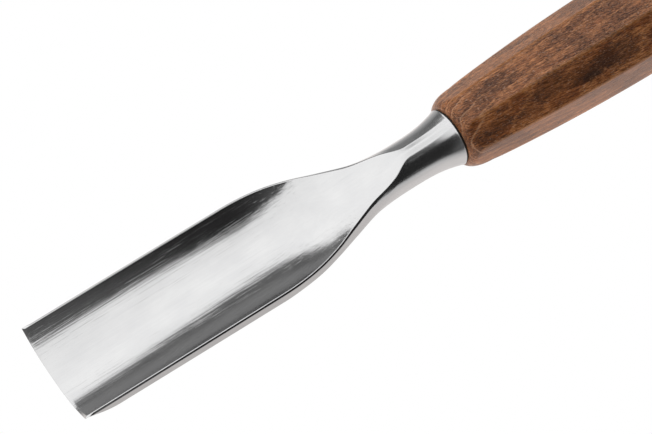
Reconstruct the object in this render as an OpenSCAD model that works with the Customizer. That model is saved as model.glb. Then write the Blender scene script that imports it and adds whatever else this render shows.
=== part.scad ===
// Wide carving gouge with an octagonal wooden handle.
//
// Lengths are in millimetres. The tool lies along X with its cutting edge at -X, its striking
// end at +X and the hollow of the blade facing up. The part's origin is at the bottom of its
// box, midway along it. The modules draw in the tool's own axes instead: the tool's axis is X,
// and x = 0 is the bolster's seat, where the steel meets the handle.

/* [Blade] */
// Width of the blade at its shoulders
blade_w = 35; // [28:0.5:42]
// Width of the blade at the cutting edge
edge_w = 34.7; // [27:0.1:41]
// Length of the steel that shows, from the cutting edge to the bolster's seat
blade_len = 140.5; // [125:0.5:170]
// Depth of the hollow below the rims
sweep_depth = 6.8; // [5:0.1:8]
// Thickness of the steel behind the bevel
steel_t = 3.15; // [2.6:0.05:3.8]
// Thickness of the steel at the shoulders
shoulder_t = 3.9; // [3.2:0.05:4.2]
// Height of the rims above the tool's axis
rim_z = 4.7; // [4:0.1:5.5]
// Width of the narrow flat on top of each rim
rim_land = 0.7; // [0.4:0.05:1]
// Angle of the bevel that is ground outside the cutting edge, in degrees
bevel_angle = 23.5; // [18:0.5:28]

/* [Neck and bolster] */
// Distance from the bolster's seat to the blade's shoulders
shoulder_x = 72; // [66:1:84]
// Diameter of the neck
neck_d = 14.7; // [13:0.1:16]
// Diameter of the bolster's seat
bolster_d = 19.1; // [18.8:0.1:20]
// Length of the bolster's flare
flare_len = 16; // [12:0.5:18]

/* [Tang] */
// Length of the tang inside the handle
tang_len = 58; // [45:1:70]
// Width of the square tang at the seat
tang_w = 8; // [6.5:0.1:8.2]
// Width of the square tang at its far end
tang_end_w = 4.4; // [3:0.1:6]

/* [Handle] */
// Length of the wooden handle
handle_len = 145; // [130:1:165]
// Width across the flats where the handle is fullest
handle_af = 30.8; // [29:0.1:34]
// Diameter of the handle's front face
front_d = 18.9; // [18.4:0.1:20]
// Length of the turned rounding at the front
front_len = 8; // [6:0.5:10]
// Distance from the front face to where the handle is fullest
full_x = 80; // [70:1:90]
// Length over which the flats run parallel
flat_len = 25; // [15:1:30]

/* [Washer and ferrule] */
// Thickness of the washer between bolster and handle
washer_t = 0.6; // [0.4:0.1:1.5]
// Outer diameter of the washer
washer_d = 18.5; // [17.5:0.1:18.7]
// Outer diameter of the ferrule inside the handle's front
ferrule_d = 15; // [14.4:0.1:15.4]
// Wall thickness of the ferrule
ferrule_wall = 1.1; // [0.8:0.1:1.2]
// Length of the ferrule
ferrule_len = 14; // [10:1:20]

/* [Hidden] */

STEEL = "silver";
LEATHER = "#1c1a18";
WOOD = "#6b3f2a";

// Clearance round the tang and the ferrule inside the handle
fit_gap = 0.05;
// Thickness left at the cutting edge
edge_t = 0.12;
// Half of the width that the blade loses between its shoulders and its edge
edge_taper = (blade_w - edge_w) / 2;
// Exponent that rounds the corners of the tang's square section
tang_corner = 8;
// The flare starts gently and opens towards the seat
flare_power = 2.5;
// Number of segments in each stretch of half a blade section
TOP_STEPS = 8;
SIDE_STEPS = 4;
UNDER_STEPS = 10;

// The shoulders narrow to the tongue, a flat that runs out on the round neck. Each point is
// [distance from the seat / shoulder_x, share of the way], and a smooth curve joins them.
// Half width of the rims, as a share of the blade's half width
rim_curve = [
    [0.22, 0.10], [0.333, 0.285], [0.458, 0.427], [0.583, 0.616],
    [0.708, 0.816], [0.833, 0.945], [1, 1]
];
// Half width of the body, from the neck's radius to the blade's half width
body_curve = [
    [0.22, 0], [0.333, 0.02], [0.436, 0.12], [0.592, 0.45],
    [0.7, 0.685], [0.8, 0.865], [0.9, 0.96], [1, 1]
];
// Depth of the hollow below the rims, as a share of sweep_depth
hollow_curve = [
    [0.3, 0], [0.417, 0.01], [0.5, 0.04], [0.583, 0.15],
    [0.667, 0.41], [0.75, 0.72], [0.85, 0.93], [1, 1]
];

function mix(a, b, k) = a + (b - a) * k;
function clamp(v) = min(1, max(0, v));
function ease(v) = let (c = clamp(v)) c * c * (3 - 2 * c);

// Slope of a curve's line at point i, level at both ends
function secant(pts, i) = (pts[i + 1].y - pts[i].y) / (pts[i + 1].x - pts[i].x);
function slope(pts, i) = (i == 0 || i == len(pts) - 1) ? 0 : (secant(pts, i - 1) + secant(pts, i)) / 2;
// Value at v of the smooth curve through the points
function curve(pts, v, i = 0) =
    v <= pts[0].x ? pts[0].y :
    i == len(pts) - 1 ? pts[i].y :
    v > pts[i + 1].x ? curve(pts, v, i + 1) :
    let (span = pts[i + 1].x - pts[i].x)
    let (k = (v - pts[i].x) / span)
    mix(pts[i].y, pts[i + 1].y, ease(k))
        + span * k * (1 - k) * ((1 - k) * slope(pts, i) - k * slope(pts, i + 1));

// The section at a distance d from the seat: rims, hollow and body
function neck_r(d) = mix(neck_d, bolster_d, pow(clamp((flare_len - d) / flare_len), flare_power)) / 2;
function past_shoulder(d) = clamp((d - shoulder_x) / (blade_len - shoulder_x));
function taper(d) = edge_taper * pow(past_shoulder(d), 2);
function rim_half(d) = blade_w / 2 * curve(rim_curve, d / shoulder_x) - taper(d);
// The side faces lean in a little at the cutting edge
function lean(d) = 0.06 * clamp(1 - (blade_len - d) / 2);
function body_half(d) =
    mix(neck_r(d), blade_w / 2, curve(body_curve, d / shoulder_x)) - taper(d) - lean(d);
// 0 on the blade, 1 where the rims lie on the round neck
function neck_share(d) = ease((0.5 * shoulder_x - d) / (0.14 * shoulder_x));
function on_neck(d) = sqrt(pow(body_half(d), 2) - pow(min(rim_half(d), 0.95 * body_half(d)), 2));
function rim_height(d) = mix(rim_z, on_neck(d), neck_share(d));
// The tongue's flat turns into the round of the neck where it ends
function crown(d) = (body_half(d) - on_neck(d)) * ease((0.3 * shoulder_x - d) / (0.11 * shoulder_x));
function hollow(d) = sweep_depth * curve(hollow_curve, d / shoulder_x) - crown(d);
function land(d) = min(rim_land * mix(1, 0.4, neck_share(d)), 0.15 + 0.3 * (blade_len - d));

// Thickness of the steel under the hollow. The bevel runs up from the edge to a rounded heel.
function heel(v) = v > 1.5 ? 1 : v - 4 / 27 * pow(v, 3);
function steel_under(d) =
    let (full = mix(shoulder_t, steel_t, past_shoulder(d)))
    max(edge_t, full * heel((blade_len - d) * tan(bevel_angle) / full));

// Lower end of the side face where the underside runs parallel to the hollow
function arc_r(half, sag) = (half * half + sag * sag) / (2 * sag);
function parallel_side_z(d) =
    let (r = arc_r(rim_half(d) - land(d), hollow(d)))
    let (reach = sqrt(pow(r + steel_under(d), 2) - pow(rim_half(d), 2)))
    min(rim_z - edge_t, rim_z - hollow(d) + r - reach);

// From the shoulders to the neck the underside turns round
function side_z(d) =
    d > shoulder_x ? parallel_side_z(d) :
    mix(0, parallel_side_z(shoulder_x), ease((d - flare_len) / (shoulder_x - flare_len)));
function under_z(d) =
    d > shoulder_x ? rim_z - hollow(d) - steel_under(d) :
    mix(-neck_r(d), rim_z - sweep_depth - shoulder_t, ease((d / shoulder_x - 0.3) / 0.6));

// Points [y, z] of an arc from its middle to its end, which is sag higher than its middle
function arc(half, z_end, sag, steps) =
    let (turn = 2 * atan(sag / half))
    [for (i = [0 : steps])
        let (a = turn * i / steps)
        abs(turn) < 0.01 ? [half * i / steps, z_end] :
            [half * sin(a) / sin(turn), z_end - sag + half * (1 - cos(a)) / sin(turn)]];

// Right half of the section, from the top of its middle to the bottom of its middle
function side_arc(d) =
    let (drop = rim_height(d) - side_z(d))
    let (turn = atan2(drop, rim_half(d)))
    [for (i = [SIDE_STEPS : -1 : 1])
        let (a = turn * i / SIDE_STEPS)
        [body_half(d) - (body_half(d) - rim_half(d)) * (1 - cos(a)) / (1 - cos(turn)),
         side_z(d) + drop * sin(a) / sin(turn)]];
function under_arc(d) =
    let (pts = arc(body_half(d), side_z(d), side_z(d) - under_z(d), UNDER_STEPS))
    [for (i = [UNDER_STEPS : -1 : 0]) pts[i]];
function half_section(d) = concat(
    arc(rim_half(d) - land(d), rim_height(d), hollow(d), TOP_STEPS),
    side_arc(d),
    under_arc(d)
);

// Whole ring of [y, z] points, down the right side and up the left
function ring(d) =
    let (half = half_section(d))
    concat(half, [for (i = [len(half) - 2 : -1 : 1]) [-half[i].x, half[i].y]]);

// The tang's square ring, with one point for each point of the seat's ring
function tang_ring(half_w) = [
    for (p = ring(0))
        let (a = atan2(p.y, p.x))
        let (s = pow(pow(abs(cos(a)), tang_corner) + pow(abs(sin(a)), tang_corner), -1 / tang_corner))
        [half_w * s * cos(a), half_w * s * sin(a)]
];

function place(x, pts) = [for (p = pts) [x, p.x, p.y]];

// Distances from the seat at which the blade is drawn, from the edge back to the seat
bevel_len = 1.5 * steel_t / tan(bevel_angle);
stations = concat(
    [for (k = [0, 0.05, 0.2, 0.4, 0.6, 0.8, 1]) blade_len - bevel_len * k],
    [for (k = [1 : 3]) mix(blade_len - bevel_len, shoulder_x, k / 4)],
    [for (k = [0 : 27]) mix(shoulder_x, flare_len, k / 28)],
    [for (k = [0 : 10]) mix(flare_len, 0, k / 10)]
);

// A closed solid through rings of equal length, flat at its first ring and pointed at its end
module loft(rings, end_point) {
    n = len(rings[0]);
    last = len(rings) - 1;
    apex = n * len(rings);
    sides = [
        for (i = [0 : last - 1], j = [0 : n - 1], t = [0, 1])
            let (a = i * n + j)
            let (b = i * n + (j + 1) % n)
            t == 0 ? [a, b, a + n] : [b, b + n, a + n]
    ];
    first_cap = [for (j = [n - 1 : -1 : 0]) j];
    cone = [for (j = [0 : n - 1]) [last * n + j, last * n + (j + 1) % n, apex]];
    polyhedron(
        points = concat([for (r = rings) each r], [end_point]),
        faces = concat([first_cap], sides, cone)
    );
}

// One forging: hollow blade, neck, bolster and tang
module blade() {
    color(STEEL)
    in_place()
    loft(
        concat(
            [for (d = stations) place(-d, ring(d))],
            [place(0, tang_ring(tang_w / 2)), place(0.92 * tang_len, tang_ring(tang_end_w / 2))]
        ),
        [tang_len, 0, 0]
    );
}

// Thin ring squeezed between the bolster and the handle
module bolster_washer() {
    hole_d = tang_w * sqrt(2) + 0.4;
    color(LEATHER)
    in_place()
    along_x()
    difference() {
        cylinder(h = washer_t, d = washer_d, $fn = 96);
        translate([0, 0, -1])
        cylinder(h = washer_t + 2, d = hole_d, $fn = 96);
    }
}

// Steel ring that stops the wood from splitting, hidden in the handle's front
module inner_ferrule() {
    color(STEEL)
    in_place()
    translate([washer_t, 0, 0])
    along_x()
    ferrule_ring(ferrule_d, ferrule_d - 2 * ferrule_wall, ferrule_len, 0);
}

module ferrule_ring(outer_d, inner_d, length, overshoot) {
    translate([0, 0, -overshoot])
    difference() {
        cylinder(h = length + overshoot, d = outer_d, $fn = 96);
        translate([0, 0, -1])
        cylinder(h = length + overshoot + 2, d = inner_d, $fn = 96);
    }
}

// Half the width across the flats at a distance x from the handle's front face
front_flat = 0.73 * handle_af / 2;
rear_flat = 0.93 * handle_af / 2;
flat_end = full_x + flat_len;
function half_flat(x) =
    x < full_x ? mix(handle_af / 2, front_flat, pow(1 - x / full_x, 2)) :
    x > flat_end ? mix(handle_af / 2, rear_flat, pow((x - flat_end) / (handle_len - flat_end), 2)) :
    handle_af / 2;

// The turned shape that the facets are cut from: rounded front, domed butt
stock_r = 0.56 * handle_af;
front_r = front_d / 2;
front_full_r = 0.835 * handle_af / 2;
stock_slope = 0.2;
butt_len = 14;
function front_turn(x) = mix(front_r, front_full_r, pow(1 - pow(1 - x / front_len, 2), 0.55));
function butt_turn(k) = stock_r * pow(max(0, 1 - pow(k, 2.6)), 0.45);

module side_profile() {
    front_steps = 20;
    rear_steps = 6;
    xs = concat(
        [for (k = [0 : front_steps]) full_x * k / front_steps],
        [for (k = [0 : rear_steps]) mix(flat_end, handle_len, k / rear_steps)]
    );
    polygon(concat(
        [for (x = xs) [x, half_flat(x)]],
        [for (k = [len(xs) - 1 : -1 : 0]) [xs[k], -half_flat(xs[k])]]
    ));
}

module turned_profile() {
    front_steps = 12;
    butt_steps = 12;
    slope_end = front_len + (stock_r - front_full_r) / stock_slope;
    polygon(concat(
        [[0, 0]],
        [for (k = [0 : front_steps]) let (x = front_len * pow(k / front_steps, 2)) [front_turn(x), x]],
        [[stock_r, slope_end]],
        [for (k = [0 : butt_steps])
            let (q = sin(90 * k / butt_steps))
            [butt_turn(q), handle_len - butt_len * (1 - q)]]
    ));
}

module octagon_body() {
    intersection_for(turn = [0 : 45 : 135]) {
        rotate([turn, 0, 0])
        rotate([90, 0, 0])
        translate([0, 0, -handle_af])
        linear_extrude(height = 2 * handle_af)
        side_profile();
    }
}

// The hole that the tang is driven into
module tang_hole() {
    hole_len = tang_len + 1;
    hole_w = tang_w + 2 * fit_gap;
    end_w = tang_end_w * 0.9 + 2 * fit_gap;
    translate([0, 0, -washer_t])
    linear_extrude(height = hole_len, scale = end_w / hole_w)
    square(hole_w, center = true);
}

module handle() {
    color(WOOD)
    in_place()
    translate([washer_t, 0, 0])
    difference() {
        intersection() {
            octagon_body();
            along_x()
            rotate_extrude($fn = 128)
            turned_profile();
        }
        along_x()
        tang_hole();
        along_x()
        ferrule_ring(
            ferrule_d + 2 * fit_gap,
            ferrule_d - 2 * ferrule_wall - 2 * fit_gap,
            ferrule_len + fit_gap,
            1
        );
    }
}

// Turns the Z axis to the tool's axis, +X
module along_x() {
    rotate([0, 90, 0])
    children();
}

// From the tool's axes to the part's frame
module in_place() {
    translate([(blade_len - handle_len - washer_t) / 2, 0, handle_af / 2])
    children();
}

blade();
bolster_washer();
inner_ferrule();
handle();
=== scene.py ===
# Looks of a wide carving gouge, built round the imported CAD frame.
#
# Sizes are in millimetres in the tool's own axes: X runs along the tool, and x = 0 is the
# bolster's seat, where the steel meets the handle. The cutting edge is at -X, the hollow of the
# blade faces +Z, and d is a distance from the seat towards the edge. place() turns such a point
# into metres in the frame.
import math

import bpy
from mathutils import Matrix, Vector


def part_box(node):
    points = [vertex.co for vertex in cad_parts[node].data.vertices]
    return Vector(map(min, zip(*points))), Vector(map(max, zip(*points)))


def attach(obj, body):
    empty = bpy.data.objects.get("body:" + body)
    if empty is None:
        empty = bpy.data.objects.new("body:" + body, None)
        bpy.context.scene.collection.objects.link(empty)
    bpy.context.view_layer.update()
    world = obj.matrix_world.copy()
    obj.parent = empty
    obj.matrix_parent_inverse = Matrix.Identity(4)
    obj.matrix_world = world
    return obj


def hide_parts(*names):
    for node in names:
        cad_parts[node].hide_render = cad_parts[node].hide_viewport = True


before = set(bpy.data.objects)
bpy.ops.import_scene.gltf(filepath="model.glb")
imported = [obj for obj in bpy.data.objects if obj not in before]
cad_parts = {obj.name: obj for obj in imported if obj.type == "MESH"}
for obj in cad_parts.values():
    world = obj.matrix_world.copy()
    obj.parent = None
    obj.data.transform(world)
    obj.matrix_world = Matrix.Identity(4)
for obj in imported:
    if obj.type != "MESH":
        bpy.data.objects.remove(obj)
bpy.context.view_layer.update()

MM = 0.001
blade_low, blade_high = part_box("blade")
washer_low, washer_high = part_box("bolster_washer")
ferrule_low, ferrule_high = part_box("inner_ferrule")
handle_low, handle_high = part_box("handle")
SEAT_X = washer_low.x
AXIS_Z = (washer_low.z + washer_high.z) / 2

# Sizes that the frame gives
BLADE_LEN = (SEAT_X - blade_low.x) / MM
BLADE_W = (blade_high.y - blade_low.y) / MM
TANG_LEN = (blade_high.x - SEAT_X) / MM
WASHER_T = (washer_high.x - washer_low.x) / MM
WASHER_R = (washer_high.z - washer_low.z) / 2 / MM
FERRULE_R = (ferrule_high.z - ferrule_low.z) / 2 / MM
FERRULE_LEN = (ferrule_high.x - ferrule_low.x) / MM
HANDLE_LEN = (handle_high.x - handle_low.x) / MM
HANDLE_AF = (handle_high.z - handle_low.z) / MM

# Blade
# How much narrower each half is at the edge than at the shoulders, and how much its underside
# draws in on top of that over the last EDGE_LEAN_LEN
EDGE_TAPER = 0.15
EDGE_LEAN = 0.06
EDGE_LEAN_LEN = 2
EDGE_T = 0.06
SWEEP_DEPTH = 6.8
STEEL_T = 3.15
SHOULDER_T = 3.9
RIM_Z = 4.7
# The rim's flat top: its width, its share of that on the neck, and its width at the edge, with
# the slope by which it widens from there
RIM_LAND = 0.7
NECK_LAND = 0.4
EDGE_LAND = 0.12
LAND_SLOPE = 0.8
BEVEL_ANGLE = math.radians(23.5)
# The bevel's heel is a cubic that is level again at HEEL_END times the steel's thickness
HEEL_END = 1.5
BEVEL_LEN = HEEL_END * STEEL_T / math.tan(BEVEL_ANGLE)
SHOULDER_X = 72
# Width that was filed off the rim's outer corner
RIM_CUT = 0.48
# How far before and after each corner of the section its rounding reaches: hollow to land, land
# to filed corner, filed corner to side face, side face to underside
CORNERS = ((0.05, 0.05), (0.06, 0.1), (0.1, 0.2), (0.5, 0.5))
NECK_CORNER = 1.5
# Points on the section's strokes (hollow, land, filed corner, side face, underside), and steps
# in each rounding between them
STROKE_POINTS = (44, 4, 4, 14, 36)
CORNER_STEPS = 5
ARC_STEPS = 60
SIDE_STEPS = 24

# Neck, bolster and tang
NECK_D = 14.7
BOLSTER_D = 19.1
FLARE_LEN = 16
FLARE_POWER = 2.5
SEAT_ROUND = 0.22
TANG_W = 8
TANG_END_W = 4.4
# Where the tang's point starts, and its foot: how far it spreads and reaches at the seat
TANG_POINT_X = 0.92 * TANG_LEN
TANG_FOOT = 0.3
# The higher this is, the squarer the tang
TANG_CORNER = 8

# Shares along the shoulders, as [distance from the seat / SHOULDER_X, share of the way]
RIM_CURVE = (
    (0.22, 0.10), (0.333, 0.285), (0.458, 0.427), (0.583, 0.616),
    (0.708, 0.816), (0.833, 0.945), (1, 1),
)
BODY_CURVE = (
    (0.22, 0), (0.333, 0.02), (0.436, 0.12), (0.592, 0.45),
    (0.7, 0.685), (0.8, 0.865), (0.9, 0.96), (1, 1),
)
HOLLOW_CURVE = (
    (0.3, 0), (0.417, 0.01), (0.5, 0.04), (0.583, 0.15),
    (0.667, 0.41), (0.75, 0.72), (0.85, 0.93), (1, 1),
)
# Changes along the shoulders, as [start, length], in shares of SHOULDER_X
RIM_FALL = (0.5, 0.14)
CROWN_RISE = (0.3, 0.11)
UNDERSIDE_FALL = (0.3, 0.6)

# Handle
# The turned envelope: the front face, the rounded front and the radius behind it, the stock and
# the slope up to it, and the domed end
FRONT_R = 9.45
FRONT_LEN = 8
FRONT_FULL_R = 0.835 * HANDLE_AF / 2
STOCK_R = 0.56 * HANDLE_AF
STOCK_SLOPE = 0.2
BUTT_LEN = 14
# The flats, as distances from the axis. They are full for FLAT_LEN from FULL_X on
FRONT_FLAT = 0.73 * HANDLE_AF / 2
REAR_FLAT = 0.93 * HANDLE_AF / 2
FULL_X = 80
FLAT_LEN = 25
# The higher this is, the sharper the arrises between the flats
ARRIS_POWER = 75
# Rounding of the front face, and the bore's far end and tip
FRONT_ROUND = 0.6
BORE_END_HALF_W = 2.2
BORE_TIP = 0.4
# The front is meshed more finely up to here
FRONT_MESH_X = 32
HANDLE_POINTS = 240

# Washer and ferrule
FIT_GAP = 0.05
FERRULE_WALL = 1.1
WASHER_HOLE_GAP = 0.2
TUBE_ROUND = 0.2
TUBE_POINTS = 160


def place(x, y, z):
    """A point in the tool's axes, in millimetres, as a point in the frame, in metres."""
    return Vector((SEAT_X + x * MM, y * MM, AXIS_Z + z * MM))


def mix(a, b, k):
    return a + (b - a) * k


def clamp(v):
    return min(1.0, max(0.0, v))


def ease(v):
    c = clamp(v)
    return c * c * (3 - 2 * c)


def spread(low, high, count):
    """Evenly spaced numbers from low to high, both included."""
    return [mix(low, high, i / (count - 1)) for i in range(count)]


def curve(points, v):
    """Value at v of the smooth curve through the points, level at both of its ends."""
    if v <= points[0][0]:
        return points[0][1]
    if v >= points[-1][0]:
        return points[-1][1]
    last = len(points) - 1
    i = max(k for k in range(last) if v >= points[k][0])

    def secant(k):
        return (points[k + 1][1] - points[k][1]) / (points[k + 1][0] - points[k][0])

    def slope(k):
        return 0 if k in (0, last) else (secant(k - 1) + secant(k)) / 2

    span = points[i + 1][0] - points[i][0]
    k = (v - points[i][0]) / span
    tilt = (1 - k) * slope(i) - k * slope(i + 1)
    return mix(points[i][1], points[i + 1][1], ease(k)) + span * k * (1 - k) * tilt


# The blade's section at a distance d from the seat


def neck_r(d):
    return mix(NECK_D, BOLSTER_D, clamp((FLARE_LEN - d) / FLARE_LEN) ** FLARE_POWER) / 2


def past_shoulder(d):
    """0 up to the shoulders, 1 at the edge."""
    return clamp((d - SHOULDER_X) / (BLADE_LEN - SHOULDER_X))


def taper(d):
    return EDGE_TAPER * past_shoulder(d) ** 2


def rim_half(d):
    return BLADE_W / 2 * curve(RIM_CURVE, d / SHOULDER_X) - taper(d)


def body_half(d):
    lean = EDGE_LEAN * clamp(1 - (BLADE_LEN - d) / EDGE_LEAN_LEN)
    return mix(neck_r(d), BLADE_W / 2, curve(BODY_CURVE, d / SHOULDER_X)) - taper(d) - lean


def neck_share(d):
    """0 on the blade, 1 where the rims lie on the round neck."""
    start, length = RIM_FALL
    return ease((start * SHOULDER_X - d) / (length * SHOULDER_X))


def on_neck(d):
    """Height of the round neck's surface where the rim lies."""
    body = body_half(d)
    return math.sqrt(body ** 2 - min(rim_half(d), 0.95 * body) ** 2)


def rim_height(d):
    return mix(RIM_Z, on_neck(d), neck_share(d))


def hollow(d):
    """Depth of the hollow below the rims. It is negative where the tongue runs out on the neck."""
    start, length = CROWN_RISE
    share = ease((start * SHOULDER_X - d) / (length * SHOULDER_X))
    crown = (body_half(d) - on_neck(d)) * share
    return SWEEP_DEPTH * curve(HOLLOW_CURVE, d / SHOULDER_X) - crown


def land(d):
    """Width of the rim's flat top."""
    return min(
        RIM_LAND * mix(1, NECK_LAND, neck_share(d)), EDGE_LAND + LAND_SLOPE * (BLADE_LEN - d)
    )


def steel_under(d):
    """Thickness under the hollow. The bevel runs up from the edge to a rounded heel."""
    full = mix(SHOULDER_T, STEEL_T, past_shoulder(d))
    v = (BLADE_LEN - d) * math.tan(BEVEL_ANGLE) / full
    heel = 1 if v > HEEL_END else v - 4 / 27 * v ** 3
    return max(EDGE_T, full * heel)


def parallel_side_z(d):
    """Lower end of the side face where the underside runs parallel to the hollow."""
    half = rim_half(d) - land(d)
    r = (half * half + hollow(d) ** 2) / (2 * hollow(d))
    reach = math.sqrt((r + steel_under(d)) ** 2 - rim_half(d) ** 2)
    return min(RIM_Z - EDGE_T, RIM_Z - hollow(d) + r - reach)


def side_z(d):
    """Lower end of the side face, at the axis's height where the neck starts to flare."""
    if d > SHOULDER_X:
        return parallel_side_z(d)
    return mix(0, parallel_side_z(SHOULDER_X), ease((d - FLARE_LEN) / (SHOULDER_X - FLARE_LEN)))


def under_z(d):
    """Height of the underside's lowest line."""
    if d > SHOULDER_X:
        return RIM_Z - hollow(d) - steel_under(d)
    low = RIM_Z - SWEEP_DEPTH - SHOULDER_T
    start, length = UNDERSIDE_FALL
    return mix(-neck_r(d), low, ease((d / SHOULDER_X - start) / length))


def arc(half, z_end, sag):
    """Points of an arc from its middle to its end, which is sag higher than its middle."""
    turn = 2 * math.atan(sag / half)
    if abs(turn) < 1e-4:
        return [(half * i / ARC_STEPS, z_end) for i in range(ARC_STEPS + 1)]
    return [
        (half * math.sin(turn * i / ARC_STEPS) / math.sin(turn),
         z_end - sag + half * (1 - math.cos(turn * i / ARC_STEPS)) / math.sin(turn))
        for i in range(ARC_STEPS + 1)
    ]


def side_arc(d):
    """Points of the side face from the rim down to the underside."""
    drop = rim_height(d) - side_z(d)
    turn = math.atan2(drop, rim_half(d))
    out = body_half(d) - rim_half(d)
    return [
        (body_half(d) - out * (1 - math.cos(a)) / (1 - math.cos(turn)),
         side_z(d) + drop * math.sin(a) / math.sin(turn))
        for a in spread(turn, 0, SIDE_STEPS + 1)
    ]


class Stroke:
    """A run of points that can be read at any distance along it."""

    def __init__(self, points):
        self.points = points
        self.reach = [0.0]
        for a, b in zip(points, points[1:]):
            self.reach.append(self.reach[-1] + math.dist(a, b))
        self.length = self.reach[-1]

    def at(self, s):
        s = min(max(s, 0.0), self.length)
        i = 1
        while i < len(self.reach) - 1 and self.reach[i] < s:
            i += 1
        step = self.reach[i] - self.reach[i - 1]
        k = (s - self.reach[i - 1]) / step if step > 0 else 0.0
        a, b = self.points[i - 1], self.points[i]
        return (mix(a[0], b[0], k), mix(a[1], b[1], k))


def rounded(strokes, corners):
    """One outline through the strokes, with a rounded corner wherever two of them meet."""
    outline = []
    for i, stroke in enumerate(strokes):
        start = min(corners[i - 1][1], 0.45 * stroke.length) if i > 0 else 0.0
        stop = min(corners[i][0], 0.9 * (stroke.length - start)) if i < len(corners) else 0.0
        if i > 0:
            corner = stroke.points[0]
            first, last = outline[-1], stroke.at(start)
            for k in spread(0, 1, CORNER_STEPS + 1)[1:-1]:
                a = (mix(first[0], corner[0], k), mix(first[1], corner[1], k))
                b = (mix(corner[0], last[0], k), mix(corner[1], last[1], k))
                outline.append((mix(a[0], b[0], k), mix(a[1], b[1], k)))
        # Points crowd towards the corners, so that the rounding's shading stays in it
        for k in spread(0, 1, STROKE_POINTS[i]):
            crowd = mix(k, ease(k), 0.75)
            outline.append(stroke.at(mix(start, stroke.length - stop, crowd)))
    return outline


def blade_ring(d):
    """The whole ring of [y, z] points at d, down one side and up the other."""
    side = Stroke(side_arc(d))
    cut = min(RIM_CUT, 0.72 * land(d), 0.5 * side.length)
    inner, outer = (rim_half(d) - land(d), rim_height(d)), (rim_half(d) - cut, rim_height(d))
    strokes = [
        Stroke(arc(inner[0], inner[1], hollow(d))),
        Stroke([inner, outer]),
        Stroke([outer, side.at(cut)]),
        Stroke([side.at(s) for s in spread(cut, side.length, SIDE_STEPS)]),
        Stroke(arc(body_half(d), side_z(d), side_z(d) - under_z(d))[::-1]),
    ]
    softer = NECK_CORNER * neck_share(d)
    corners = [(before + softer, after + softer) for before, after in CORNERS]
    half = rounded(strokes, corners)
    return half + [(-y, z) for y, z in half[-2:0:-1]]


def tang_ring(ring, half_w):
    """The tang's square ring, with one point for each point of the seat's ring."""
    points = []
    for y, z in ring:
        a = math.atan2(z, y)
        total = abs(math.cos(a)) ** TANG_CORNER + abs(math.sin(a)) ** TANG_CORNER
        r = half_w * total ** (-1 / TANG_CORNER)
        points.append((r * math.cos(a), r * math.sin(a)))
    return points


def scaled(ring, factor):
    return [(y * factor, z * factor) for y, z in ring]


def blade_stations():
    """Distances from the seat, from the edge back to where the seat's rounding starts."""
    heel = BLADE_LEN - BEVEL_LEN
    stops = [BLADE_LEN - BEVEL_LEN * k ** 1.5 for k in spread(0, 1, 25)]
    for start, end, count in (
        (heel, SHOULDER_X, 80), (SHOULDER_X, FLARE_LEN, 151), (FLARE_LEN, SEAT_ROUND, 50),
    ):
        stops += spread(start, end, count)[1:]
    return stops


def bend(points, j):
    """How sharply the ring turns at its point j, in radians per millimetre."""
    a, b, c = points[j - 1], points[j], points[(j + 1) % len(points)]
    turn = math.atan2(c[1] - b[1], c[0] - b[0]) - math.atan2(b[1] - a[1], b[0] - a[0])
    turn = abs((turn + math.pi) % (2 * math.pi) - math.pi)
    return 2 * turn / max(math.dist(a, b) + math.dist(b, c), 1e-6)


def mark_wear(piece, rings, low, high):
    """Stores where the section's corners are, which wear and polish first."""
    wear = [0.0] * len(piece.data.vertices)
    n = len(rings[0][1])
    for i, (_, ring) in enumerate(rings):
        for j in range(n):
            wear[i * n + j] = ease((bend(ring, j) - low) / (high - low))
    piece.data.attributes.new("wear", "FLOAT", "POINT").data.foreach_set("value", wear)


def loft(name, rings, end, start=None):
    """A closed mesh through rings of (x, points). start and end are points that close it.

    With no start, the first ring is closed by one flat face.
    """
    verts = [place(x, y, z) for x, ring in rings for y, z in ring]
    n = len(rings[0][1])
    faces = []
    for i in range(len(rings) - 1):
        for j in range(n):
            a, b = i * n + j, i * n + (j + 1) % n
            faces.append((a, a + n, b + n, b))
    base = (len(rings) - 1) * n
    if start is None:
        faces.append(tuple(range(n)))
    else:
        verts.append(place(*start))
        faces += [(len(verts) - 1, j, (j + 1) % n) for j in range(n)]
    verts.append(place(*end))
    faces += [(len(verts) - 1, base + (j + 1) % n, base + j) for j in range(n)]
    return mesh_object(name, verts, faces)


def mesh_object(name, verts, faces):
    mesh = bpy.data.meshes.new(name)
    mesh.from_pydata(verts, [], faces)
    mesh.validate()
    mesh.shade_smooth()
    mesh.update()
    piece = bpy.data.objects.new(name, mesh)
    bpy.context.scene.collection.objects.link(piece)
    return piece


def make_blade():
    rings = [(-d, blade_ring(d)) for d in blade_stations()]
    seat = blade_ring(0)
    r = BOLSTER_D / 2
    for a in spread(0, math.pi / 2, 7)[1:]:
        inset = SEAT_ROUND * (1 - math.cos(a))
        rings.append((-SEAT_ROUND * (1 - math.sin(a)), scaled(seat, 1 - inset / r)))
    rings.append((0, tang_ring(seat, TANG_W / 2 + TANG_FOOT)))
    for x in (TANG_FOOT, 1.5, 20, 40, TANG_POINT_X):
        rings.append((x, tang_ring(seat, mix(TANG_W, TANG_END_W, x / TANG_POINT_X) / 2)))
    piece = loft("gouge_blade", rings, end=(TANG_LEN, 0, 0))
    mark_wear(piece, rings, 0.5, 1.5)
    return piece


# The handle's section at a distance x from its front face


def half_flat(x):
    """Distance of the flats from the axis."""
    flat_end = FULL_X + FLAT_LEN
    if x < FULL_X:
        return mix(HANDLE_AF / 2, FRONT_FLAT, (1 - x / FULL_X) ** 2)
    if x > flat_end:
        return mix(HANDLE_AF / 2, REAR_FLAT, ((x - flat_end) / (HANDLE_LEN - flat_end)) ** 2)
    return HANDLE_AF / 2


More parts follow.
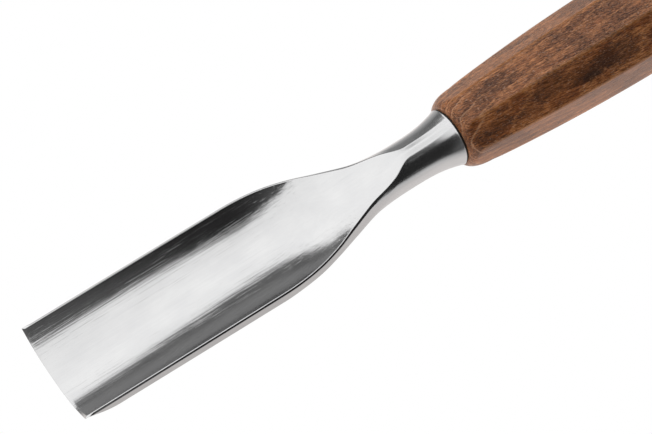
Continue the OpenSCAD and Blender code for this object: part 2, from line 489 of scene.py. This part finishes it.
def handle_ring(x):
    """The eight flats at x, cut down to the turned radius, with softened arrises."""
    points = []
    for i in range(HANDLE_POINTS):
        a = 2 * math.pi * i / HANDLE_POINTS
        total = turned_r(x) ** -ARRIS_POWER
        for k in range(8):
            lean = math.cos(a - k * math.pi / 4)
            if lean > 0:
                total += (lean / half_flat(x)) ** ARRIS_POWER
        r = total ** (-1 / ARRIS_POWER)
        points.append((r * math.cos(a), -r * math.sin(a)))
    return points


def circle_ring(r, count=HANDLE_POINTS):
    return [
        (r * math.cos(2 * math.pi * i / count), -r * math.sin(2 * math.pi * i / count))
        for i in range(count)
    ]


def turned_r(x):
    """Radius of the turned envelope: rounded front, cone, stock, domed end."""
    if x < FRONT_LEN:
        return mix(FRONT_R, FRONT_FULL_R, (1 - (1 - x / FRONT_LEN) ** 2) ** 0.55)
    k = (x - (HANDLE_LEN - BUTT_LEN)) / BUTT_LEN
    if k > 0:
        return STOCK_R * max(0, 1 - k ** 2.6) ** 0.45
    return min(FRONT_FULL_R + (x - FRONT_LEN) * STOCK_SLOPE, STOCK_R)


def make_handle():
    groove_out = FERRULE_R + FIT_GAP
    groove_in = FERRULE_R - FERRULE_WALL - FIT_GAP
    bore = circle_ring(1)
    rings = [(TANG_LEN, tang_ring(bore, BORE_END_HALF_W))]
    for x in (45, 30, 15, 0):
        half_w = mix(TANG_W / 2 + FIT_GAP, BORE_END_HALF_W, x / TANG_LEN)
        rings.append((x, tang_ring(bore, half_w)))
    rings += [
        (0, circle_ring(groove_in)),
        (FERRULE_LEN, circle_ring(groove_in)),
        (FERRULE_LEN, circle_ring(groove_out)),
        (0, circle_ring(groove_out)),
        (0, circle_ring(FRONT_R - FRONT_ROUND)),
    ]
    stops = [FRONT_LEN * k ** 2 for k in spread(0, 1, 28)]
    stops += spread(FRONT_LEN, FRONT_MESH_X, 60)[1:]
    stops += spread(FRONT_MESH_X, HANDLE_LEN - BUTT_LEN, 60)[1:]
    stops += [
        HANDLE_LEN - BUTT_LEN * (1 - math.sin(math.pi / 2 * k)) for k in spread(0, 1, 40)[1:-1]
    ]
    rings += [(x, handle_ring(x)) for x in stops]
    rings = [(WASHER_T + x, ring) for x, ring in rings]
    piece = loft(
        "handle_wood", rings,
        start=(WASHER_T + TANG_LEN + BORE_TIP, 0, 0), end=(WASHER_T + HANDLE_LEN, 0, 0),
    )
    mark_wear(piece, rings, 0.16, 0.4)
    return piece


def turned_tube(name, x0, outline):
    """A closed tube with the outline of [x, r] points, which runs round the wall's section."""
    verts = []
    for x, r in outline:
        verts += [place(x0 + x, y, z) for y, z in circle_ring(r, TUBE_POINTS)]
    faces = []
    rows = len(outline)
    for i in range(rows):
        here, there = i * TUBE_POINTS, (i + 1) % rows * TUBE_POINTS
        for j in range(TUBE_POINTS):
            k = (j + 1) % TUBE_POINTS
            faces.append((here + j, here + k, there + k, there + j))
    return mesh_object(name, verts, faces)


def rounded_wall(inner_r, outer_r, length):
    """Outline of a tube's wall with rounded edges, as [x, r] points."""
    outline = []
    edge = TUBE_ROUND
    for cx, cr, first in (
        (length - edge, outer_r - edge, 0), (edge, outer_r - edge, 90),
        (edge, inner_r + edge, 180), (length - edge, inner_r + edge, 270),
    ):
        for a in spread(first, first + 90, 6):
            t = math.radians(a)
            outline.append((cx + edge * math.cos(t), cr + edge * math.sin(t)))
    return outline


def make_washer():
    hole_r = TANG_W * math.sqrt(2) / 2 + WASHER_HOLE_GAP
    outline = rounded_wall(hole_r, WASHER_R, WASHER_T)
    return turned_tube("washer_leather", 0, outline)


def make_ferrule():
    outline = rounded_wall(FERRULE_R - FERRULE_WALL, FERRULE_R, FERRULE_LEN)
    return turned_tube("ferrule_tube", WASHER_T, outline)


# Materials


class Nodes:
    """Makes the nodes of a material or world. An input is given a number, a colour or a socket."""

    def __init__(self, owner):
        self.owner = owner
        owner.use_nodes = True
        self.tree = owner.node_tree
        self.tree.nodes.clear()

    def add(self, kind, inputs=None, **settings):
        made = self.tree.nodes.new(kind)
        for key, value in settings.items():
            setattr(made, key, value)
        for key, value in (inputs or {}).items():
            if isinstance(value, bpy.types.NodeSocket):
                self.tree.links.new(value, made.inputs[key])
            else:
                made.inputs[key].default_value = value
        return made

    def math(self, operation, a, b=0.0, c=0.0, clamped=False):
        made = self.add(
            "ShaderNodeMath", {0: a, 1: b, 2: c}, operation=operation, use_clamp=clamped,
        )
        return made.outputs[0]

    def scale(self, value, low, high, to_low=0.0, to_high=1.0):
        """Maps low..high to to_low..to_high smoothly, and holds the ends."""
        made = self.add(
            "ShaderNodeMapRange",
            {"Value": value, "From Min": low, "From Max": high, "To Min": to_low,
             "To Max": to_high},
            interpolation_type="SMOOTHSTEP",
        )
        return made.outputs[0]

    def ramp(self, value, stops):
        """Maps a number to a number or colour by stops of (place, value)."""
        made = self.add("ShaderNodeValToRGB", {"Fac": value})
        elements = made.color_ramp.elements
        while len(elements) < len(stops):
            elements.new(0.5)
        for element, (at, shade) in zip(elements, stops):
            element.position = at
            element.color = (*shade, 1) if isinstance(shade, tuple) else (shade, shade, shade, 1)
        return made.outputs["Color"]

    def blend(self, share, a, b, blend_type="MIX"):
        made = self.add("ShaderNodeMix", data_type="RGBA", blend_type=blend_type)
        for index, value in ((0, share), (6, a), (7, b)):
            if isinstance(value, bpy.types.NodeSocket):
                self.tree.links.new(value, made.inputs[index])
            elif isinstance(value, tuple):
                made.inputs[index].default_value = (*value, 1)
            else:
                made.inputs[index].default_value = value
        return made.outputs[2]

    def along(self):
        """Distance along the tool, from the bolster's seat."""
        return self.add("ShaderNodeSeparateXYZ", {0: self.at_tool()}).outputs["X"]

    def at_tool(self, stretch=(1, 1, 1), turn=(0, 0, 0), centre=(0, 0, 0)):
        """Millimetres from a point in the tool's axes, turned and then stretched."""
        coords = self.add("ShaderNodeTexCoord").outputs["Object"]
        shift = (-SEAT_X / MM - centre[0], -centre[1], -AXIS_Z / MM - centre[2])
        moved = self.add(
            "ShaderNodeMapping",
            {"Vector": coords, "Location": shift, "Scale": (1 / MM,) * 3},
        ).outputs[0]
        turned = self.add("ShaderNodeMapping", {"Vector": moved, "Rotation": turn}).outputs[0]
        return self.add("ShaderNodeMapping", {"Vector": turned, "Scale": stretch}).outputs[0]

    def noise(self, vector, detail=2.0, roughness=0.5):
        return self.add(
            "ShaderNodeTexNoise",
            {"Vector": vector, "Scale": 1.0, "Detail": detail, "Roughness": roughness},
        ).outputs[0]

    def distance(self, vector):
        return self.add("ShaderNodeVectorMath", {0: vector}, operation="LENGTH").outputs["Value"]

    def bump(self, height, depth_mm):
        made = self.add("ShaderNodeBump", {"Height": height, "Distance": depth_mm * MM})
        return made.outputs[0]

    def wear(self):
        return self.add("ShaderNodeAttribute", attribute_name="wear").outputs["Fac"]

    def finish(self, shader):
        kind = "World" if isinstance(self.owner, bpy.types.World) else "Material"
        self.add("ShaderNodeOutput" + kind, {"Surface": shader})
        return self.owner


def new_material(name):
    return Nodes(bpy.data.materials.new(name))


def steel_material():
    """Ground and polished tool steel with fine marks along the tool."""
    n = new_material("tool_steel")
    waves = n.noise(n.at_tool((0.012, 0.45, 0.45)), 2)
    marks = n.noise(n.at_tool((0.035, 2.1, 2.1)), 4, 0.6)
    fine = n.noise(n.at_tool((0.07, 5, 5), turn=(0, 0, math.radians(1))), 2)
    cloud = n.noise(n.at_tool((0.09, 0.16, 0.16)), 3)
    # The neck and bolster were polished round, after the blade's long strokes
    blade_share = n.scale(n.along(), -50, -22, 1.0, 0.3)
    scratches = n.scale(n.noise(n.at_tool((0.05, 2.6, 2.6)), 2), 0.60, 0.68)
    deep = n.scale(cloud, 0.4, 0.6, 0.5, 1.1)
    height = n.math("MULTIPLY_ADD", marks, deep, n.math("MULTIPLY", waves, 1.6))
    height = n.math("MULTIPLY_ADD", scratches, -0.24, height)
    height = n.math("MULTIPLY_ADD", fine, 0.05, height)
    height = n.math("MULTIPLY", height, blade_share)
    rough = n.math("MULTIPLY_ADD", cloud, 0.06, 0.105)
    rough = n.math("MULTIPLY_ADD", fine, 0.04, rough)
    rough = n.math("MULTIPLY_ADD", scratches, 0.05, rough)
    rough = n.math("MULTIPLY_ADD", n.wear(), 0.06, rough)
    rough = n.math("ADD", rough, n.scale(n.along(), -40, -12, 0.0, 0.06))
    tone = n.math("MULTIPLY_ADD", marks, 0.3, n.math("MULTIPLY", cloud, 0.7))
    colour = n.ramp(tone, [(0.35, (0.655, 0.655, 0.66)), (0.65, (0.71, 0.71, 0.71))])
    shader = n.add(
        "ShaderNodeBsdfPrincipled",
        {"Base Color": colour, "Metallic": 1.0, "Roughness": rough,
         "Normal": n.bump(height, 0.036)},
    )
    return n.finish(shader.outputs[0])


# The tree's pith, seen from the handle's axis, and the thickness of a year's growth
PITH = (0, 53, -53)
RING = 2.2
# How far the fibres run off the tool's axis
SLANT = math.radians(7)
# Dark figure in the wood, as [centre, half its length, half its width, depth, softness]
STAINS = (
    ((45.5, -11.2, 8.8), 3.4, 1.3, 0.85, 0.7),
    ((45, -10.5, 10), 8, 2.6, 0.5, 0.4),
    ((55, -10, 10.5), 6.5, 3, 0.55, 0.8),
    ((31.5, -8.5, 10.5), 7, 2.7, 0.38, 0.2),
    ((12.5, -8, 7.5), 6, 2.7, 0.45, 0.3),
    ((42.5, 3.5, 13), 3.2, 2.3, 0.4, 0.9),
    ((46.5, -1, 14), 4, 2.3, 0.35, 0.9),
    ((19, 0.5, 11.5), 7, 3, 0.3, 0.9),
)


def wood_material():
    """Stained hardwood with fine pores and a satin oil finish."""
    n = new_material("stained_wood")
    drift = n.noise(n.at_tool((0.03, 0.07, 0.07)), 2)
    sway = n.noise(n.at_tool((0.2, 0.6, 0.6)), 3)
    blotch = n.noise(n.at_tool((0.06, 0.22, 0.22)), 3, 0.55)
    fibre = n.noise(n.at_tool((0.36, 2.7, 2.7), turn=(0, 0, SLANT)), 3, 0.65)
    fleck = n.noise(n.at_tool((1.1, 2.8, 2.8), turn=(0, 0, 2 * SLANT)), 3, 0.7)
    pore = n.noise(n.at_tool((0.95, 3.3, 3.3), turn=(0, 0, SLANT)), 2)

    from_pith = n.distance(n.at_tool((0.0, 1, 1), centre=PITH))
    age = n.math("MULTIPLY_ADD", drift, 7.0, from_pith)
    age = n.math("MULTIPLY_ADD", sway, 0.9, age)
    year = n.math("FRACT", n.math("DIVIDE", age, RING))
    late = n.ramp(year, [(0.0, 0.0), (0.08, 0.05), (0.55, 0.35), (0.93, 1.0), (1.0, 0.25)])
    pale_line = n.ramp(year, [(0.0, 0.35), (0.06, 1.0), (0.16, 0.0), (0.97, 0.0), (1.0, 0.3)])

    tone = n.ramp(late, [(0.0, (0.345, 0.128, 0.043)), (1.0, (0.215, 0.067, 0.019))])
    tone = n.blend(n.scale(blotch, 0.44, 0.64, 0.0, 0.8), tone, (0.155, 0.052, 0.017))
    tone = n.blend(n.math("MULTIPLY", pale_line, 0.45), tone, (0.46, 0.19, 0.07))
    ragged = n.math("SUBTRACT", fleck, 0.5)
    for centre, half_len, half_width, depth, softness in STAINS:
        size = (1 / half_len, 1 / half_width, 1 / half_width)
        far = n.math("MULTIPLY_ADD", sway, 1.2, n.distance(n.at_tool(size, centre=centre)))
        far = n.math("MULTIPLY_ADD", ragged, 0.9, far)
        stain = n.scale(far, 1.55 - softness / 2, 1.65 + softness / 2, depth, 0.0)
        tone = n.blend(stain, tone, (0.034, 0.011, 0.004))
    darker = n.blend(1.0, tone, (0.41, 0.35, 0.24), "MULTIPLY")
    paler = n.blend(1.0, tone, (1.50, 1.65, 2.25), "MULTIPLY")
    # Grain, pores and flecks fade on the flats that face sideways: a painted sheen, standing in
    # for the pale veil of reflected floor light on them
    normal = n.add("ShaderNodeTexCoord").outputs["Normal"]
    sideways = n.math("ABSOLUTE", n.add("ShaderNodeSeparateXYZ", {0: normal}).outputs["Y"])
    painted_sheen_calm = n.scale(sideways, 0.80, 0.97, 1.0, 0.45)
    grain = n.math("SUBTRACT", n.scale(fibre, 0.34, 0.66), 0.5)
    tone = n.blend(n.math("MULTIPLY_ADD", grain, painted_sheen_calm, 0.5), darker, paler)
    # Pores gather in sooty patches
    # Fewer patches on the sideways flats, as part of the painted sheen
    patch = n.math("MULTIPLY", n.scale(blotch, 0.40, 0.60, 0.45, 1.0), painted_sheen_calm)
    soot = n.math("MULTIPLY", n.scale(fleck, 0.46, 0.30), patch)
    tone = n.blend(n.math("MULTIPLY", soot, 0.9), tone, (0.064, 0.021, 0.007))
    open_pore = n.math("MULTIPLY", n.scale(pore, 0.47, 0.36), patch)
    tone = n.blend(n.math("MULTIPLY", open_pore, 0.88), tone, (0.035, 0.010, 0.003))
    # Fewer light flecks on the sideways flats, as part of the painted sheen
    light_fleck = n.math("MULTIPLY", n.scale(fleck, 0.56, 0.70, 0.0, 0.5), painted_sheen_calm)
    tone = n.blend(light_fleck, tone, (0.50, 0.35, 0.32))
    # The rounded front cuts across the rings, which show there as thin pale arcs
    arcs = n.math("MULTIPLY", pale_line, n.scale(n.along(), 13, 5, 0.0, 0.36))
    tone = n.blend(arcs, tone, (0.50, 0.31, 0.24))
    rubbed = n.math("MULTIPLY", n.wear(), n.scale(fleck, 0.35, 0.6, 0.1, 0.4))
    tone = n.blend(rubbed, tone, (0.40, 0.19, 0.09))
    tone = n.blend(1.0, tone, (1.14, 1.11, 0.90), "MULTIPLY")

    height = n.math("MULTIPLY_ADD", open_pore, -0.9, n.math("MULTIPLY", fibre, 0.5))
    height = n.math("MULTIPLY_ADD", fleck, 0.35, height)
    height = n.math("MULTIPLY_ADD", late, 0.2, height)
    rough = n.math("MULTIPLY_ADD", fibre, 0.14, 0.25)
    rough = n.math("MULTIPLY_ADD", open_pore, 0.2, rough)
    rough = n.math("MULTIPLY_ADD", n.wear(), -0.08, rough)
    shader = n.add(
        "ShaderNodeBsdfPrincipled",
        {"Base Color": tone, "Roughness": rough, "Specular IOR Level": 0.4,
         "Sheen Weight": 0.25, "Sheen Roughness": 0.35, "Sheen Tint": (1.0, 0.88, 0.78, 1.0),
         "Normal": n.bump(height, 0.045)},
    )
    return n.finish(shader.outputs[0])


def leather_material():
    """Dark leather with a fine grain and layered bumps."""
    n = new_material("dark_leather")
    grain = n.noise(n.at_tool((3, 3, 3)), 4)
    layers = n.noise(n.at_tool((9, 0.4, 0.4)), 2)
    colour = n.ramp(grain, [(0.35, (0.008, 0.007, 0.006)), (0.7, (0.03, 0.025, 0.022))])
    height = n.math("MULTIPLY_ADD", layers, 0.6, grain)
    rough = n.math("MULTIPLY_ADD", grain, 0.2, 0.42)
    shader = n.add(
        "ShaderNodeBsdfPrincipled",
        {"Base Color": colour, "Roughness": rough, "Normal": n.bump(height, 0.04)},
    )
    return n.finish(shader.outputs[0])


# Studio

# Height of the softbox above the tool's axis, and its strength
SOFTBOX_Z = 150
SOFTBOX_GLOW = 1.2
# Share of the softbox's light that is lost once it has bounced off the tool
BOUNCE_LOSS = 0.7
# Outline of the softbox over the tool, as [x, near edge, far edge, softness of the near edge,
# level beyond the near edge, level of the dim wall beyond the far edge]. Both edges are
# distances from the tool's axis towards the camera's side.
SOFTBOX = (
    (-700, 120, -900, 6, 0.100, 0.22),
    (-160, 100, -480, 6, 0.100, 0.22),
    (-100, 96, -400, 6, 0.100, 0.22),
    (-66, 86, -265, 6, 0.060, 0.20),
    (-42, 68, -200, 8, 0.026, 0.13),
    (-22, 48, -185, 12, 0.014, 0.10),
    (-5, 25, -170, 20, 0.017, 0.11),
    (30, 8, -135, 22, 0.017, 0.13),
    (130, 24, -135, 22, 0.017, 0.22),
    (700, 24, -135, 22, 0.017, 0.22),
)
# How far the sheet goes on beyond both of the softbox's edges
WALL_REACH = 1500
# How bright the floor looks from the tool, as [x, levels], with a level for each place in
# FLOOR_Y, across the tool's axis
FLOOR_Y = (-300, -126, -75, -52, -39, -20, 0, 15, 21, 31, 38, 52, 75, 126, 300)
FLOOR = (
    (-45, (0.14, 0.30, 0.46, 0.55, 0.60, 0.62, 0.75, 0.80,
           0.78, 0.68, 0.58, 0.38, 0.27, 0.16, 0.08)),
    (-8, (0.14, 0.32, 0.52, 0.64, 0.71, 0.80, 0.84, 1.10,
          1.10, 0.85, 0.78, 0.63, 0.58, 0.53, 0.40)),
    (12, (0.35, 0.55, 0.75, 0.85, 0.90, 0.90, 0.98, 1.15,
          1.10, 0.75, 0.60, 0.50, 0.45, 0.42, 0.40)),
)
# The wood's stain tints the light that the floor gives back close to the tool
FLOOR_TINT = (1.0, 0.955, 0.935)
# The floor's light on matt surfaces, far from the tool and beside it
MATT_FAR = (1.0, 0.95, 0.91)
MATT_NEAR = (2.5, 2.36, 2.22)
WHITE = (1.0, 1.0, 1.0)
# How far the floor goes on each way, and how far it stays below the tool
FLOOR_REACH = 4000
FLOOR_GAP = 0.05
# Brightness of the room by the direction round the tool's axis, as [degrees, level]: 0 is up,
# positive angles lean to the camera's side
ROOM = (
    (-180, 0.5), (-92, 0.30), (-84, 0.22), (-50, 0.16), (-20, 0.16), (5, 0.02), (86, 0.02),
    (100, 0.1),
)

# Camera: its direction from the tool (0 is -Y, positive towards +X), lens in millimetres, the
# point on the tool's axes that it looks at, and its distance from there in metres
CAMERA_AZIMUTH = math.radians(-35.12)
CAMERA_ELEVATION = math.radians(61.28)
CAMERA_LENS = 121.47
CAMERA_TARGET = (-46.37, -1.09, 0)
CAMERA_DISTANCE = 0.6556


def softbox_material():
    n = new_material("softbox")
    glow = n.add("ShaderNodeAttribute", attribute_name="glow").outputs["Fac"]
    matt_glow = n.add("ShaderNodeAttribute", attribute_name="matt_glow").outputs["Fac"]
    path = n.add("ShaderNodeLightPath").outputs
    more = n.math("SUBTRACT", matt_glow, glow)
    glow = n.math("MULTIPLY_ADD", path["Is Diffuse Ray"], more, glow)
    # Light that has bounced off the tool once already is mostly lost to its fine marks
    again = n.math("GREATER_THAN", path["Ray Depth"], 1.5)
    level = n.math("MULTIPLY", glow, SOFTBOX_GLOW)
    level = n.math("MULTIPLY", level, n.math("MULTIPLY_ADD", again, -BOUNCE_LOSS, 1.0))
    shader = n.add("ShaderNodeEmission", {"Color": (1, 1, 1, 1), "Strength": level})
    return n.finish(shader.outputs[0])


def make_softbox():
    """A lit sheet over the tool. The camera looks past it, but the steel shows it."""
    verts, faces = [], []
    glow = {"glow": [], "matt_glow": []}
    for x, near, far, soft, shade, wall in SOFTBOX:
        # As [place, level in the steel, level on matt surfaces]
        rows = (
            (near + WALL_REACH, shade, 0.02), (near + soft, shade, 0.02), (near, 0.75, 0.95),
            (near - 2 * soft, 0.88, 0.95), (mix(near, far, 0.45), 1.0, 0.87),
            (far + 12, 0.95, 0.95), (far - 6, wall, 1.4), (far - WALL_REACH, wall, 1.4),
        )
        for lateral, level, matt_level in rows:
            verts.append(place(x, -lateral, SOFTBOX_Z))
            glow["glow"].append(level)
            glow["matt_glow"].append(matt_level)
    n = len(rows)
    for i in range(len(SOFTBOX) - 1):
        for j in range(n - 1):
            a = i * n + j
            faces.append((a, a + 1, a + n + 1, a + n))
    softbox = mesh_object("softbox", verts, faces)
    for name, levels in glow.items():
        softbox.data.attributes.new(name, "FLOAT", "POINT").data.foreach_set("value", levels)
    softbox.data.materials.append(softbox_material())
    softbox.visible_camera = False
    softbox.visible_shadow = False


def floor_material():
    """White to the eye and clear from below. Its light falls off, which the steel shows."""
    n = new_material("white_floor")
    parts = n.add("ShaderNodeSeparateXYZ", {0: n.at_tool()}).outputs
    low, high = FLOOR_Y[0], FLOOR_Y[-1]
    across = n.math("DIVIDE", n.math("SUBTRACT", parts["Y"], low), high - low, clamped=True)
    places = [(y - low) / (high - low) for y in FLOOR_Y]
    lit = n.ramp(across, list(zip(places, FLOOR[0][1])))
    for (x_before, _), (x, levels) in zip(FLOOR, FLOOR[1:]):
        strip = n.ramp(across, list(zip(places, levels)))
        lit = n.blend(n.scale(parts["X"], x_before, x), lit, strip)
    out = n.math("ABSOLUTE", parts["Y"])
    tint = n.blend(n.scale(out, 15, 90), FLOOR_TINT, WHITE)
    lit = n.blend(1.0, lit, tint, "MULTIPLY")
    near = n.math("MULTIPLY", n.scale(out, 15, 22), n.scale(out, 60, 34))
    path = n.add("ShaderNodeLightPath").outputs
    lit = n.blend(path["Is Diffuse Ray"], lit, n.blend(near, MATT_FAR, MATT_NEAR))
    lit = n.blend(path["Is Camera Ray"], lit, WHITE)
    light = n.add("ShaderNodeEmission", {"Color": lit, "Strength": 1.0}).outputs[0]
    clear = n.add("ShaderNodeBsdfTransparent").outputs[0]
    below = n.add("ShaderNodeNewGeometry").outputs["Backfacing"]
    return n.finish(n.add("ShaderNodeMixShader", {0: below, 1: light, 2: clear}).outputs[0])


def make_floor():
    """A big pale floor that touches the bevel's heel and the handle's lowest flat."""
    x_tip = -(BLADE_LEN - BEVEL_LEN)
    z_tip = under_z(-x_tip)
    slope = min(
        (-min(half_flat(x), turned_r(x)) - z_tip) / (WASHER_T + x - x_tip)
        for x in spread(0, HANDLE_LEN, 146)
    )
    corners = []
    for sx, sy in ((-1, -1), (1, -1), (1, 1), (-1, 1)):
        x = sx * FLOOR_REACH
        z = z_tip + slope * (x - x_tip) - FLOOR_GAP
        corners.append(place(x, sy * FLOOR_REACH, z))
    floor = mesh_object("floor", corners, [(0, 1, 2, 3)])
    floor.data.materials.append(floor_material())


def make_world():
    n = Nodes(bpy.data.worlds.new("studio"))
    bpy.context.scene.world = n.owner
    toward = n.add("ShaderNodeTexCoord").outputs["Generated"]
    parts = n.add("ShaderNodeSeparateXYZ", {0: toward}).outputs
    turn = n.math("ARCTAN2", n.math("MULTIPLY", parts["Y"], -1.0), parts["Z"])
    share = n.math("MULTIPLY_ADD", turn, 1 / (2 * math.pi), 0.5)
    bands = n.ramp(share, [((angle + 180) / 360, level) for angle, level in ROOM])
    seen = n.blend(n.add("ShaderNodeLightPath").outputs["Is Camera Ray"], bands, WHITE)
    n.finish(n.add("ShaderNodeBackground", {"Color": seen, "Strength": 1.0}).outputs[0])


def make_camera():
    """A long lens above the blade's near side."""
    back = Vector((
        math.sin(CAMERA_AZIMUTH) * math.cos(CAMERA_ELEVATION),
        -math.cos(CAMERA_AZIMUTH) * math.cos(CAMERA_ELEVATION),
        math.sin(CAMERA_ELEVATION),
    ))
    data = bpy.data.cameras.new("camera")
    data.sensor_width = 36
    data.lens = CAMERA_LENS
    data.clip_start = 0.01
    data.clip_end = 20
    camera = bpy.data.objects.new("camera", data)
    bpy.context.scene.collection.objects.link(camera)
    camera.rotation_mode = "QUATERNION"
    camera.rotation_quaternion = (-back).to_track_quat("-Z", "Y")
    camera.location = place(*CAMERA_TARGET) + back * CAMERA_DISTANCE
    bpy.context.scene.camera = camera


def finish_piece(piece, node, material):
    piece.data.materials.append(material)
    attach(piece, "root")
    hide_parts(node)


make_camera()
make_world()
make_softbox()
make_floor()
bpy.context.scene.view_settings.view_transform = "Standard"

steel = steel_material()
finish_piece(make_blade(), "blade", steel)
finish_piece(make_washer(), "bolster_washer", leather_material())
finish_piece(make_ferrule(), "inner_ferrule", steel)
finish_piece(make_handle(), "handle", wood_material())
